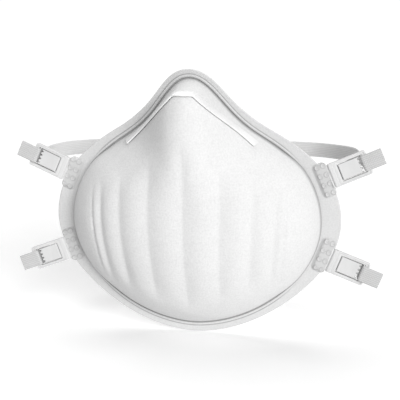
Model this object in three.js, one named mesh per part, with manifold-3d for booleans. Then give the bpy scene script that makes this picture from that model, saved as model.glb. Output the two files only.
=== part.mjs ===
// Disposable dust mask: a ribbed moulded cup on a soft sealing flange, with a bendable nose
// clip and two head straps held by four toothed buckles.
// Millimetres. +X is the viewer's right, -Y the front of the mask, +Z up as worn. The origin
// is in the middle of the sealing rim, on the plane that its sides touch.

import * as THREE from 'three';
import { mergeVertices } from 'three/addons/utils/BufferGeometryUtils.js';
import Module from 'manifold-3d';

// Sealing rim, measured on the crease where the cup meets its flange: a squarish oval, fuller
// above its widest place than below it, with a bell-shaped peak over the nose.
const RIM_HALF_WIDTH = 64;
const RIM_TOP = 64;
const RIM_WIDEST = -10;
const RIM_BOTTOM = -64.5;
const CHEEK_TOP = 42.8;
const CHEEK_POWER = 2.07;
const CHIN_POWER = 1.85;
const PEAK_WIDTH = 19.3;
const PEAK_POWER = 2.2;
const RIM_STEPS = 144;
const NOSE_RISE = 19.8;
const CHIN_RISE = 1.6;

// Cup
const CUP_DEPTH = 37;
const NOSE_BULGE = 2.5;
const CREST_FLAT = 54;
const CREST_HALF_WIDTH = 4.8;
const CREST_SLOPE = 0.916;
const CREST_SHARE = 0.85;
const CREST_FADE = [40, 68];
const RIDGE_ROUNDING = 5;
const SPOKES = 96;
const FRONT_RINGS = 14;
const SIDE_RINGS = 4;

// Ribs pressed into the cover
const RIB_DEPTH = 1.2;
const RIB_STEP = THREE.MathUtils.degToRad(21.1);
const RIB_RADIUS = 48;

// Layers, from the front
const GAP = 0.3;
const COVER = 0.6;
const MEDIA = 0.8;
const SHELL = 0.6;
const MEDIA_TOP = RIB_DEPTH + COVER + GAP + 0.1;
const SHELL_TOP = MEDIA_TOP + MEDIA + GAP;
const SHELL_BACK = SHELL_TOP + SHELL;

// Flange, narrow at the nose and widest beside the buckles, and its weld bead
const FLANGE = 1.3;
const FLANGE_NOSE = 3;
const FLANGE_EDGE = 3.9;
const FLANGE_SWELL = 5.9;
const SWELL_ANGLE = 95;
const SWELL_SPREAD = 28;
const FLANGE_INSIDE = 6;
const FLANGE_ROUND = 0.4;
const BEAD_IN = -0.8;
const BEAD_OUT = 0.6;
const BEAD_HEIGHT = 0.55;
const BEAD_ROOM = 1.3;

// Nose clip and nose foam
const CLIP_WIDTH = 5;
const CLIP = 0.8;
const CLIP_END = 45;
const FOAM = 4.5;
const FOAM_END = 46;

// Buckles: place of the hinge, tilt of the buckle in degrees
const BUCKLES = {
  upper: { x: 68.9, z: 16.2, tilt: 24 },
  lower: { x: 69.9, z: -27.1, tilt: -20.5 },
};
const PLATE = 1;
const PLATE_SPAN = [-8.6, -1.4];
const PLATE_REACH = [-10, 8.4];
const PLATE_ROUND = 2.6;
const STUD_COLUMNS = [-6.05, -2.9];
const STUD_ROWS = [6.4, 1.6, -3.2, -8];
const STUD_RADIUS = 1.15;
const STUD_HEIGHT = 0.4;
const FRAME_LENGTH = 18.2;
const FRAME_HALF_WIDTH = 6.15;
const FRAME = 2.2;
const FRAME_BEVEL = 0.35;
const WINDOW = [3.4, 15.9];
const WINDOW_HALF_WIDTH = 4.45;
const TONGUE = 1.2;
const TONGUE_PIVOT = 4.3;
const TONGUE_TIP = 14.45;
const NOTCHES = [-3, -1, 1, 3];
const NOTCH = 0.9;

// Straps
const STRAP_WIDTH = 8.2;
const STRAP = 0.9;
const SLOT_CENTRE = 15.2;
const TAIL_END = 25.4;
const STRAP_LEAVES = 3.2;
const STRAP_STATIONS = 40;
const STRAP_LOOPS = {
  upper: [[83, 16, 22.6], [78.5, 38, 22.6], [62, 57, 22.6], [33, 66, 22.6], [0, 68, 22.6]],
  lower: [[83.6, 16, -34.2], [78, 38, -39], [61, 56, -43.5], [33, 65, -46], [0, 67, -47]],
};

const COLOURS = {
  cover: [0xf3f3f1, 0.9],
  media: [0xf0f0ec, 0.95],
  shell: [0xededea, 0.9],
  flange: [0xe6e6e4, 0.85],
  clip: [0xf2f2f2, 0.45],
  foam: [0xd9d9d6, 0.95],
  plate: [0xe4e4e1, 0.5],
  plastic: [0xf1f1ee, 0.45],
  strap: [0xc6c6c5, 0.9],
};

const smooth = (from, to, x) => {
  const t = THREE.MathUtils.clamp((x - from) / (to - from), 0, 1);
  return t * t * (3 - 2 * t);
};
const mix = THREE.MathUtils.lerp;
const degrees = THREE.MathUtils.radToDeg;
const group = new THREE.Group();
group.name = 'disposable_dust_mask';

function addPiece(name, geometry, look) {
  const [color, roughness] = COLOURS[look];
  const material = new THREE.MeshStandardMaterial({ color, roughness, metalness: 0 });
  const mesh = new THREE.Mesh(geometry, material);
  mesh.name = name;
  group.add(mesh);
}

// Smooth steps between [position, value] stops.
function stops(list, x) {
  let value = list[0][1];
  for (let i = 1; i < list.length; i += 1) {
    value = mix(value, list[i][1], smooth(list[i - 1][0], list[i][0], x));
  }
  return value;
}

// A closed solid from points and triangles, turned to face outwards.
function solid(points, triangles) {
  const volume = triangles.reduce((sum, [a, b, c]) => {
    const normal = new THREE.Vector3().crossVectors(points[b], points[c]);
    return sum + points[a].dot(normal);
  }, 0);
  const faces = volume < 0 ? triangles.map(([a, b, c]) => [a, c, b]) : triangles;
  const geometry = new THREE.BufferGeometry().setFromPoints(points);
  geometry.setIndex(faces.flat());
  geometry.computeVertexNormals();
  return geometry;
}

// Joins rows of points, each as long as the others, into a skin; closed rows wrap around.
function skin(rows, closed, triangles, flip) {
  const length = rows[0].length;
  const last = closed ? length : length - 1;
  for (let i = 0; i + 1 < rows.length; i += 1) {
    for (let k = 0; k < last; k += 1) {
      const next = (k + 1) % length;
      const [a, b, c, d] = [rows[i][k], rows[i][next], rows[i + 1][next], rows[i + 1][k]];
      if (a === b) {
        triangles.push(flip ? [a, c, d] : [a, d, c]);
      } else {
        triangles.push(flip ? [a, b, c] : [a, c, b]);
        triangles.push(flip ? [a, c, d] : [a, d, c]);
      }
    }
  }
}

// A bar swept through sections of equal length, with flat ends.
function sweep(sections, ring) {
  const points = sections.flat();
  const size = sections[0].length;
  const rows = sections.map((_, i) => sections[i].map((__, k) => i * size + k));
  const triangles = [];
  skin(ring ? [...rows, rows[0]] : rows, true, triangles, false);
  if (!ring) {
    const end = rows[rows.length - 1];
    for (let k = 1; k + 1 < size; k += 1) {
      triangles.push([rows[0][0], rows[0][k], rows[0][k + 1]]);
      triangles.push([end[0], end[k + 1], end[k]]);
    }
  }
  return solid(points, triangles);
}

const wasm = await Module();
wasm.setup();

function toManifold(geometry) {
  const bare = geometry.clone();
  bare.deleteAttribute('normal');
  bare.deleteAttribute('uv');
  const merged = mergeVertices(bare, 1e-4);
  return new wasm.Manifold(new wasm.Mesh({
    numProp: 3,
    vertProperties: new Float32Array(merged.attributes.position.array),
    triVerts: new Uint32Array(merged.index.array),
  }));
}

function joined(geometries) {
  const [first, ...others] = geometries.map(toManifold);
  const mesh = others.reduce((sum, next) => sum.add(next), first).getMesh();
  const geometry = new THREE.BufferGeometry();
  geometry.setAttribute('position', new THREE.BufferAttribute(mesh.vertProperties, 3));
  geometry.setIndex([...mesh.triVerts]);
  geometry.computeVertexNormals();
  return geometry;
}

function mirrored(geometry) {
  const copy = geometry.index ? geometry.toNonIndexed() : geometry.clone();
  const flipped = mergeVertices(copy, 1e-4);
  flipped.scale(-1, 1, 1);
  const index = flipped.index.array;
  for (let i = 0; i < index.length; i += 3) {
    [index[i], index[i + 1]] = [index[i + 1], index[i]];
  }
  flipped.computeVertexNormals();
  return flipped;
}

// ---------------------------------------------------------------- rim

// How far the rim stands forward of the side plane at a height.
function rimRise(z) {
  return z > 0 ? NOSE_RISE * (z / RIM_TOP) ** 2 : CHIN_RISE * (z / RIM_BOTTOM) ** 2;
}

// Half height of an oval of a given height and squareness at a distance from its middle.
function oval(height, power, x) {
  return height * Math.max(0, 1 - (x / RIM_HALF_WIDTH) ** power) ** (1 / power);
}

const rimCurve = (() => {
  const points = [];
  for (let k = 0; k < RIM_STEPS; k += 1) {
    const turn = 2 * Math.PI * k / RIM_STEPS;
    const x = RIM_HALF_WIDTH * Math.sin(turn);
    const away = Math.abs(x);
    const cheek = oval(CHEEK_TOP - RIM_WIDEST, CHEEK_POWER, away);
    const peak = (RIM_TOP - CHEEK_TOP) * Math.exp(-((away / PEAK_WIDTH) ** PEAK_POWER));
    const chin = oval(RIM_WIDEST - RIM_BOTTOM, CHIN_POWER, away);
    const z = RIM_WIDEST + (Math.cos(turn) > 0 ? cheek + peak : -chin);
    points.push(new THREE.Vector3(x, z, 0));
  }
  const curve = new THREE.CatmullRomCurve3(points, true, 'centripetal');
  curve.arcLengthDivisions = 20 * RIM_STEPS;
  return curve;
})();

function flangeWidth(angle) {
  const swell = FLANGE_SWELL * Math.exp(-(((angle - SWELL_ANGLE) / SWELL_SPREAD) ** 2));
  return mix(FLANGE_NOSE, FLANGE_EDGE, smooth(14, 34, angle)) + swell;
}

// How much of the weld bead there is: all of it at the nose and chin, none at the sides.
function beadShare(angle) {
  return smooth(72, 55, angle) + smooth(122, 142, angle);
}

// Places on the crease, moved in by the inset where the weld bead is.
function rimStations(count, inset = 0) {
  const points = rimCurve.getSpacedPoints(count).slice(0, count);
  return points.map((p, i) => {
    const before = points[(i + count - 1) % count];
    const after = points[(i + 1) % count];
    const along = new THREE.Vector2(after.x - before.x, after.y - before.y).normalize();
    const out = new THREE.Vector2(-along.y, along.x);
    const angle = Math.abs(degrees(Math.atan2(p.x, p.y)));
    const x = p.x - out.x * inset * beadShare(angle);
    const z = p.y - out.y * inset * beadShare(angle);
    return { x, z, out, angle, width: flangeWidth(angle), radius: Math.hypot(x, z) };
  });
}

// ---------------------------------------------------------------- cup

// Share of the crease's radius at which the nose crest crosses a spoke.
function crestShare(station) {
  const theta = THREE.MathUtils.degToRad(station.angle);
  const wing = CREST_FLAT + CREST_SLOPE * CREST_HALF_WIDTH;
  const flat = CREST_FLAT / Math.max(Math.cos(theta), 0.2);
  const side = wing / (Math.cos(theta) + CREST_SLOPE * Math.sin(theta));
  const crest = Math.min(flat, side) / station.radius;
  return mix(crest, CREST_SHARE, smooth(45, 75, station.angle));
}

const fullness = [[8, 0.38], [48, 0.72], [90, 0.52], [135, 0.72], [180, 0.8]];

// How far the cup stands forward on a spoke, at a share of its radius.
function cupRise(station, share) {
  const base = rimRise(station.z);
  const power = stops([[0, 2.4], [50, 2]], station.angle);
  const swell = stops(fullness, station.angle);
  const round = (s) => base * s * s + CUP_DEPTH * Math.max(0, 1 - s ** power) ** swell;
  const crest = crestShare(station);
  const top = round(crest);
  const s = share / crest;
  const front = CUP_DEPTH + (top - CUP_DEPTH) * s * s + NOSE_BULGE * 6.75 * s * s * (1 - s);
  const bank = base + (top - base) * (1 - share) / (1 - crest);
  const sharp = share < crest ? front : bank;
  return mix(sharp, round(share), smooth(...CREST_FADE, station.angle));
}

// Depth of the pressed ribs at a place on the front.
function ribDepth(x, z, share) {
  const bent = x * (1 + 0.08 * ((8 - z) / 50) ** 2);
  const turn = Math.asin(THREE.MathUtils.clamp(bent / RIB_RADIUS, -1, 1)) / RIB_STEP;
  const wave = ((1 + Math.cos(2 * Math.PI * turn)) / 2) ** 1.4;
  const valley = wave * smooth(52, 46, Math.abs(bent));
  const side = Math.abs(x) / 50;
  const top = 30 - 22 * side;
  const bottom = -52 + 16 * side;
  const height = smooth(top + 6, top - 10, z) * smooth(bottom - 4, bottom + 12, z);
  return RIB_DEPTH * valley * height * smooth(1, 0.9, share);
}

function shares(station, front, side) {
  const crest = crestShare(station);
  const list = [];
  for (let j = 0; j <= front; j += 1) {
    list.push(crest * j / front);
  }
  for (let j = 1; j <= side; j += 1) {
    list.push(crest + (1 - crest) * (j / side) ** 0.85);
  }
  return list;
}

// Rise of a ring of the cup, rounded sideways so that the nose ridge runs out softly.
function roundedRise(stations, ring, radii, spread) {
  const spokes = stations.length;
  const rises = stations.map((s, i) => cupRise(s, ring[i]));
  const mean = radii.reduce((sum, r) => sum + r, 0) / spokes;
  const reach = spread / (2 * Math.PI * mean / spokes);
  if (reach < 0.05) {
    return rises;
  }
  return rises.map((_, i) => {
    let total = 0;
    let weight = 0;
    for (let k = 0; k < spokes; k += 1) {
      const apart = Math.min(Math.abs(i - k), spokes - Math.abs(i - k));
      const share = Math.exp(-0.5 * (apart / reach) ** 2);
      total += share * rises[k];
      weight += share;
    }
    return total / weight;
  });
}

// Grid of the cup's front: a row for each ring from the middle out, a point for each spoke.
function cupGrid(spokes, front, side) {
  const stations = rimStations(spokes, BEAD_ROOM);
  const all = stations.map((s) => shares(s, front, side));
  const rings = front + side + 1;
  const points = [];
  for (let j = 0; j < rings; j += 1) {
    const ring = all.map((list) => list[j]);
    const radii = stations.map((s, i) => Math.max(s.radius * ring[i], 1));
    const spread = RIDGE_ROUNDING * Math.max(0, 1 - (j / front) ** 2);
    const rises = roundedRise(stations, ring, radii, spread);
    points.push(stations.map((s, i) => new THREE.Vector3(s.x * ring[i], -rises[i], s.z * ring[i])));
  }
  const normals = points.map((row, j) => row.map((p, i) => {
    const inner = points[Math.max(j - 1, 0)][i];
    const outer = points[Math.min(j + 1, rings - 1)][i];
    const around = points[j][(i + 1) % spokes].clone();
    around.sub(points[j][(i + spokes - 1) % spokes]);
    const normal = new THREE.Vector3().subVectors(outer, inner).cross(around).normalize();
    return j === 0 ? new THREE.Vector3(0, -1, 0) : normal.multiplyScalar(normal.y > 0 ? -1 : 1);
  }));
  return { stations, all, points, normals, rings };
}

// One layer of the cup between two depths below the crowns of the ribs.
function cupLayer(grid, from, to, ribbed) {
  const { stations, all, points, normals, rings } = grid;
  const spokes = stations.length;
  const vertices = [];
  const sheet = (depth) => {
    const middle = vertices.length;
    const rows = [Array(spokes).fill(middle)];
    const rib = (p, share) => (ribbed ? ribDepth(p.x, p.z, share) : 0);
    const at = (j, i) => {
      const down = depth + rib(points[j][i], all[i][j]);
      return points[j][i].clone().addScaledVector(normals[j][i], -down);
    };
    vertices.push(at(0, 0));
    for (let j = 1; j < rings; j += 1) {
      rows.push(stations.map((s, i) => {
        const edge = new THREE.Vector3(
          s.x - s.out.x * depth * 1.12,
          -rimRise(s.z) - GAP,
          s.z - s.out.y * depth * 1.12,
        );
        vertices.push(j === rings - 1 ? edge : at(j, i));
        return vertices.length - 1;
      }));
    }
    return rows;
  };
  const outer = sheet(from);
  const inner = sheet(to);
  const triangles = [];
  skin(outer, true, triangles, false);
  skin(inner, true, triangles, true);
  skin([outer[rings - 1], inner[rings - 1]], true, triangles, false);
  return solid(vertices, triangles);
}

const fine = cupGrid(SPOKES, FRONT_RINGS, SIDE_RINGS);
const coarse = cupGrid(SPOKES / 2, FRONT_RINGS / 2, SIDE_RINGS);
addPiece('outer_cover', cupLayer(fine, 0, COVER, true), 'cover');
addPiece('filter_media', cupLayer(coarse, MEDIA_TOP, MEDIA_TOP + MEDIA, false), 'media');
addPiece('inner_shell', cupLayer(coarse, SHELL_TOP, SHELL_BACK, false), 'shell');

// ---------------------------------------------------------------- flange

function flangeSection(station) {
  const { width, angle } = station;
  const bead = BEAD_HEIGHT * beadShare(angle);
  const outline = [
    [-FLANGE_INSIDE, 0],
    [-FLANGE_INSIDE, -FLANGE],
    [width - FLANGE_ROUND, -FLANGE],
    [width, FLANGE_ROUND - FLANGE],
    [width, -FLANGE_ROUND],
    [width - FLANGE_ROUND, 0],
    [BEAD_OUT, 0],
    [BEAD_OUT - 0.35, bead],
    [BEAD_IN + 0.35, bead],
    [BEAD_IN, 0],
  ];
  return outline.map(([away, forward]) => {
    const x = station.x + station.out.x * away;
    const z = station.z + station.out.y * away;
    return new THREE.Vector3(x, -rimRise(z) - forward, z);
  });
}

addPiece('rim_flange', sweep(rimStations(SPOKES).map(flangeSection), true), 'flange');

// ---------------------------------------------------------------- nose clip and foam

// A place on the bank between crest and crease: its point, the way down the bank and its normal.
function bankFrame(angle) {
  const station = rimStations(720, BEAD_ROOM).find((s) => s.x >= 0 && s.angle >= angle);
  const crest = crestShare(station);
  const at = (share) => new THREE.Vector3(
    station.x * share,
    -cupRise(station, share),
    station.z * share,
  );
  const top = at(crest);
  const down = at(mix(crest, 1, 0.5)).sub(top).normalize();
  return { top, down, length: top.distanceTo(at(1)) };
}

// A strip that lies along the bank on both sides of the nose.
function bankStrip(angles, inner, outer, from, to) {
  const half = angles.map(bankFrame);
  const frames = [
    ...half.slice(1).reverse().map(({ top, down, length }) => ({
      top: new THREE.Vector3(-top.x, top.y, top.z),
      down: new THREE.Vector3(-down.x, down.y, down.z),
      length,
    })),
    ...half,
  ];
  const sections = frames.map(({ top, down, length }, i) => {
    const before = frames[Math.max(i - 1, 0)].top;
    const after = frames[Math.min(i + 1, frames.length - 1)].top;
    const along = new THREE.Vector3().subVectors(after, before).normalize();
    const normal = new THREE.Vector3().crossVectors(down, along).normalize();
    normal.multiplyScalar(normal.z < 0 ? -1 : 1);
    const corner = (way, lift) => top.clone()
      .addScaledVector(down, way)
      .addScaledVector(normal, lift);
    const [start, end] = [inner(length), outer(length)];
    return [corner(start, from), corner(end, from), corner(end, to), corner(start, to)];
  });
  return sweep(sections, false);
}

const clipAngles = [0, 4, 5.5, 8, 13, 18, 24, 30, 36, 41, CLIP_END];
addPiece('nose_clip', bankStrip(
  clipAngles,
  () => 0.2,
  (length) => Math.min(CLIP_WIDTH, 0.6 * length),
  GAP + 0.1,
  GAP + 0.1 + CLIP,
), 'clip');
const foamAngles = [0, 6, 12, 18, 24, 30, 36, 41, FOAM_END];
addPiece('nose_foam', bankStrip(
  foamAngles,
  (length) => 0.22 * length,
  (length) => 0.66 * length,
  -(SHELL_BACK + GAP + 0.2),
  -(SHELL_BACK + GAP + 0.2 + FOAM),
), 'foam');

// ---------------------------------------------------------------- buckles

// Moves a right-hand piece from the buckle's own axes (out along it, across it, forward) to
// its place on the mask.
function seat(geometry, buckle) {
  const tilt = THREE.MathUtils.degToRad(buckle.tilt);
  const out = new THREE.Vector3(Math.cos(tilt), 0, Math.sin(tilt));
  const across = new THREE.Vector3(-Math.sin(tilt), 0, Math.cos(tilt));
  const forward = new THREE.Vector3(0, -1, 0);
  const place = new THREE.Matrix4().makeBasis(out, across, forward);
  place.setPosition(buckle.x, -buckleRise(buckle), buckle.z);
  return geometry.clone().applyMatrix4(place);
}

function buckleRise(buckle) {
  return rimRise(buckle.z) + GAP + PLATE / 2;
}

// The weld plate follows the flange under it, so its sections run along the hinge.
function anchorPlate(buckle) {
  const tilt = THREE.MathUtils.degToRad(buckle.tilt);
  const [cos, sin] = [Math.cos(tilt), Math.sin(tilt)];
  const point = (u, v, lift) => {
    const x = buckle.x + u * cos - v * sin;
    const z = buckle.z + u * sin + v * cos;
    return new THREE.Vector3(x, -(rimRise(z) + GAP + lift), z);
  };
  const side = Math.sign(buckle.tilt);
  const [low, high] = PLATE_REACH;
  const steps = [0, 0.15, 0.5, 1.2, PLATE_ROUND];
  const rows = [
    ...steps.map((s) => low + s),
    mix(low, high, 0.35),
    mix(low, high, 0.5),
    mix(low, high, 0.65),
    ...steps.map((s) => high - s).reverse(),
  ];
  const sections = rows.map((v) => {
    const end = Math.min(v - low, high - v, PLATE_ROUND);
    const cut = PLATE_ROUND - Math.sqrt(PLATE_ROUND ** 2 - (PLATE_ROUND - end) ** 2);
    const [inner, outer] = [PLATE_SPAN[0] + cut, PLATE_SPAN[1] - cut];
    const across = side * v;
    return [
      point(inner, across, 0),
      point(outer, across, 0),
      point(outer, across, PLATE),
      point(inner, across, PLATE),
    ];
  });
  const profile = [
    [0, 0],
    [STUD_RADIUS, 0],
    [STUD_RADIUS, 0.5 + STUD_HEIGHT * 0.5],
    [STUD_RADIUS * 0.7, 0.5 + STUD_HEIGHT],
    [0, 0.5 + STUD_HEIGHT],
  ].map(([r, h]) => new THREE.Vector2(r, h));
  const studs = STUD_COLUMNS.flatMap((u) => STUD_ROWS.map((v) => {
    const place = point(u, side * v, PLATE / 2);
    const stud = new THREE.LatheGeometry(profile, 12);
    return stud.rotateX(Math.PI).translate(place.x, place.y, place.z);
  }));
  return joined([sweep(sections, false), ...studs]);
}

function barrel(radius, halfLength, u) {
  const rod = new THREE.CylinderGeometry(radius, radius, 2 * halfLength, 24);
  return rod.translate(u, 0, 0);
}

function roundedRectangle(path, [u0, u1], half, corner) {
  path.moveTo(u0, -half);
  path.lineTo(u1 - corner, -half);
  path.absarc(u1 - corner, -half + corner, corner, -Math.PI / 2, 0, false);
  path.absarc(u1 - corner, half - corner, corner, 0, Math.PI / 2, false);
  path.lineTo(u0, half);
  path.closePath();
  return path;
}

function buckleFrame() {
  const shape = roundedRectangle(new THREE.Shape(), [0, FRAME_LENGTH], FRAME_HALF_WIDTH, 0.9);
  shape.holes.push(roundedRectangle(new THREE.Path(), WINDOW, WINDOW_HALF_WIDTH, 0.3));
  const body = new THREE.ExtrudeGeometry(shape, {
    depth: FRAME - 2 * FRAME_BEVEL,
    bevelThickness: FRAME_BEVEL,
    bevelSize: FRAME_BEVEL,
    bevelOffset: -FRAME_BEVEL,
    bevelSegments: 2,
    curveSegments: 3,
  });
  body.translate(0, 0, FRAME_BEVEL - FRAME / 2);
  return joined([body, barrel(FRAME / 2, FRAME_HALF_WIDTH, 0)]);
}

// The tongue's outer edge is cut into teeth that bite the strap.
function buckleTongue() {
  const half = WINDOW_HALF_WIDTH - GAP;
  const shape = new THREE.Shape();
  shape.moveTo(TONGUE_PIVOT, -half);
  shape.lineTo(TONGUE_TIP, -half);
  NOTCHES.forEach((v) => {
    shape.lineTo(TONGUE_TIP, v - NOTCH / 2);
    shape.lineTo(TONGUE_TIP - NOTCH, v - NOTCH / 3);
    shape.lineTo(TONGUE_TIP - NOTCH, v + NOTCH / 3);
    shape.lineTo(TONGUE_TIP, v + NOTCH / 2);
  });
  shape.lineTo(TONGUE_TIP, half);
  shape.lineTo(TONGUE_PIVOT, half);
  const plate = new THREE.ExtrudeGeometry(shape, { depth: TONGUE, bevelEnabled: false });
  plate.translate(0, 0, -TONGUE / 2);
  return joined([plate, barrel(TONGUE / 2, half, TONGUE_PIVOT)]);
}

// The strap's end comes up through the slot, folds over the outer bar and ends in a short tail.
function strapEnd() {
  const over = FRAME / 2 + GAP;
  const bend = new THREE.Vector2(SLOT_CENTRE + STRAP / 2 + 0.35, over - 0.35);
  const inner = 0.35;
  const shape = new THREE.Shape();
  shape.moveTo(SLOT_CENTRE - STRAP / 2, -STRAP_LEAVES);
  shape.lineTo(SLOT_CENTRE + STRAP / 2, -STRAP_LEAVES);
  shape.lineTo(SLOT_CENTRE + STRAP / 2, bend.y);
  shape.absarc(bend.x, bend.y, inner, Math.PI, Math.PI / 2, true);
  shape.lineTo(TAIL_END, over);
  shape.lineTo(TAIL_END, over + STRAP);
  shape.lineTo(bend.x, over + STRAP);
  shape.absarc(bend.x, bend.y, inner + STRAP, Math.PI / 2, Math.PI, false);
  const end = new THREE.ExtrudeGeometry(shape, {
    depth: STRAP_WIDTH,
    bevelEnabled: false,
    curveSegments: 5,
  });
  end.translate(0, 0, -STRAP_WIDTH / 2);
  return end.rotateX(Math.PI / 2);
}

Object.entries(BUCKLES).forEach(([level, buckle]) => {
  const pieces = [
    ['buckle_anchor', anchorPlate(buckle), 'plate'],
    ['buckle_frame', seat(buckleFrame(), buckle), 'plastic'],
    ['buckle_tongue', seat(buckleTongue(), buckle), 'plastic'],
    ['strap_end', seat(strapEnd(), buckle), 'strap'],
  ];
  pieces.forEach(([name, geometry, look]) => {
    addPiece(`${name}_${level}_right`, geometry, look);
    addPiece(`${name}_${level}_left`, mirrored(geometry), look);
  });
});

// ---------------------------------------------------------------- head straps

// Each strap leaves the back of one slot, loops behind the mask and comes back to the other,
// turning from the buckle's tilt to stand upright.
function headStrap(level) {
  const buckle = BUCKLES[level];
  const tilt = THREE.MathUtils.degToRad(buckle.tilt);
  const back = STRAP_LEAVES + GAP - buckleRise(buckle);
  const start = new THREE.Vector3(
    buckle.x + SLOT_CENTRE * Math.cos(tilt),
    back,
    buckle.z + SLOT_CENTRE * Math.sin(tilt),
  );
  const straight = start.clone().setY(back + 4);
  const loop = STRAP_LOOPS[level].map(([x, y, z]) => new THREE.Vector3(x, y, z));
  const half = [start, straight, ...loop];
  const other = half.slice(0, -1).reverse().map((p) => new THREE.Vector3(-p.x, p.y, p.z));
  const curve = new THREE.CatmullRomCurve3([...half, ...other], false, 'centripetal');
  const sections = [];
  for (let i = 0; i <= STRAP_STATIONS; i += 1) {
    const share = i / STRAP_STATIONS;
    const centre = curve.getPointAt(share);
    const along = i === 0 || i === STRAP_STATIONS
      ? new THREE.Vector3(0, i === 0 ? 1 : -1, 0)
      : curve.getTangentAt(share);
    const fromEnd = Math.min(share, 1 - share);
    const lean = tilt * smooth(0.16, 0, fromEnd) * (share < 0.5 ? 1 : -1);
    const across = new THREE.Vector3(-Math.sin(lean), 0, Math.cos(lean));
    const thick = new THREE.Vector3().crossVectors(along, across).normalize();
    across.crossVectors(thick, along).normalize();
    const corner = (a, b) => centre.clone()
      .addScaledVector(across, a * STRAP_WIDTH / 2)
      .addScaledVector(thick, b * STRAP / 2);
    sections.push([corner(-1, -1), corner(1, -1), corner(1, 1), corner(-1, 1)]);
  }
  return sweep(sections, false);
}

addPiece('head_strap_upper', headStrap('upper'), 'strap');
addPiece('head_strap_lower', headStrap('lower'), 'strap');

export default group;
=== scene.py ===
"""Looks of a disposable dust mask: ribbed nonwoven cup, sealing flange, nose clip, toothed buckles
and elastic head straps. Shapes are worked out in millimetres, in the frame of the CAD model."""

import math

import bpy
import numpy as np
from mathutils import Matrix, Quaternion, Vector


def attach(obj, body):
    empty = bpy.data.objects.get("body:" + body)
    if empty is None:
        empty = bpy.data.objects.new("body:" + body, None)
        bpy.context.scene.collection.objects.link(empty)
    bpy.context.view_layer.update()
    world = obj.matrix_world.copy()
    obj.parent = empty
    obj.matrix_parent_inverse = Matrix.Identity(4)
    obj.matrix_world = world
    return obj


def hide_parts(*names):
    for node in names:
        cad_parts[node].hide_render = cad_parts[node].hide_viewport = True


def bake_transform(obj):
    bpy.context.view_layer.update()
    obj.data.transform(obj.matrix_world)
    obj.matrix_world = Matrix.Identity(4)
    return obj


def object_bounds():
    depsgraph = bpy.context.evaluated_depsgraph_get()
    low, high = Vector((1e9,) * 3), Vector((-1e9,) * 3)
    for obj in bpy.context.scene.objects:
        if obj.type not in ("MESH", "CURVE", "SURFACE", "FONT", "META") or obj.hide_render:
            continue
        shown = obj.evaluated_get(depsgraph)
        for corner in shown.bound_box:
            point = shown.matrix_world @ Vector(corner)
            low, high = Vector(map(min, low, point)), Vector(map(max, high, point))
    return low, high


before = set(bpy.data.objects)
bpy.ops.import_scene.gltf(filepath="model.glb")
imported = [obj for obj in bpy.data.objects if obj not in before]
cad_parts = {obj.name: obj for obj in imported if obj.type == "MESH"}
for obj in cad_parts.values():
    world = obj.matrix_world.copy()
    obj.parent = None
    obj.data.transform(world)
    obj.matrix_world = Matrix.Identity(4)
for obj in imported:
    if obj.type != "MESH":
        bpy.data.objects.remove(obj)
cad_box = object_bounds()

MM = 0.001
LEVELS = ("upper", "lower")
SIDES = {"left": -1, "right": 1}

# ---------------------------------------------------------------- sizes, as in the CAD model

RIM_HALF_WIDTH, RIM_TOP, RIM_WIDEST, RIM_BOTTOM = 64, 64, -10, -64.5
CHEEK_TOP, CHEEK_POWER, CHIN_POWER = 42.8, 2.07, 1.85
PEAK_WIDTH, PEAK_POWER = 19.3, 2.2
NOSE_RISE, CHIN_RISE = 19.8, 1.6
CREASE_STEPS = 2880
CREASE_SOFTENING = 1.6 / 420  # as a share of the way round
CUP_DEPTH, NOSE_BULGE = 37, 2.5
CREST_FLAT, CREST_HALF_WIDTH, CREST_SLOPE, CREST_SHARE = 54, 4.8, 0.916, 0.85
CREST_FADE = (40, 68)  # degrees from the top over which the nose crest runs out
ROUNDNESS = [(0, 2.4), (50, 2)]  # of a spoke's profile, by degrees from the top
FULLNESS = [(8, 0.38), (48, 0.72), (90, 0.52), (135, 0.72), (180, 0.8)]
RIDGE_ROUNDING = 5
SIDE_RING_SPACING = 0.85
EDGE_LEAN = 1.12  # how far a deeper layer's edge moves in, per millimetre of depth
RIB_DEPTH, RIB_STEP, RIB_RADIUS = 1.2, math.radians(21.1), 48
GAP, COVER, MEDIA, SHELL = 0.3, 0.6, 0.8, 0.6
MEDIA_TOP = RIB_DEPTH + COVER + GAP + 0.1
SHELL_TOP = MEDIA_TOP + MEDIA + GAP
SHELL_BACK = SHELL_TOP + SHELL
FLANGE, FLANGE_INSIDE, FLANGE_ROUND = 1.3, 6, 0.4
FLANGE_NOSE, FLANGE_EDGE, FLANGE_SWELL = 3, 3.9, 5.9
SWELL_ANGLE, SWELL_SPREAD = 95, 28
BEAD_IN, BEAD_OUT, BEAD_HEIGHT, BEAD_ROOM = -0.8, 0.6, 0.55, 1.3
CLIP_WIDTH, CLIP, CLIP_END = 5, 0.8, 45
FOAM, FOAM_END = 4.5, 46
BUCKLES = {"upper": (68.9, 16.2, 24), "lower": (69.9, -27.1, -20.5)}
PLATE, PLATE_SPAN, PLATE_REACH, PLATE_ROUND = 1, (-8.6, -1.4), (-10, 8.4), 2.6
PLATE_CROWN, PLATE_SINK, PLATE_SLOPE = 0.72, 0.2, 2
STUD_COLUMNS, STUD_ROWS = (-6.05, -2.9), (6.4, 1.6, -3.2, -8)
STUD_RING, STUD_RING_HEIGHT, STUD_RING_WIDTH = 1.05, 0.22, 0.3
FRAME_LENGTH, FRAME_HALF, FRAME = 18.2, 6.15, 2.2
WINDOW, WINDOW_HALF = (3.4, 15.9), 4.45
TONGUE, TONGUE_PIVOT, TONGUE_TIP = 1.2, 4.3, 14.45
NOTCHES, NOTCH = (-3, -1, 1, 3), 0.9
TONGUE_WEB_LEVEL = -0.3
PAINTED_GAP_SHADE = 0.85  # how dark the painted shade is on the walls and hidden faces in a buckle's narrow gaps, and on the strap inside its slot
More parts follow.
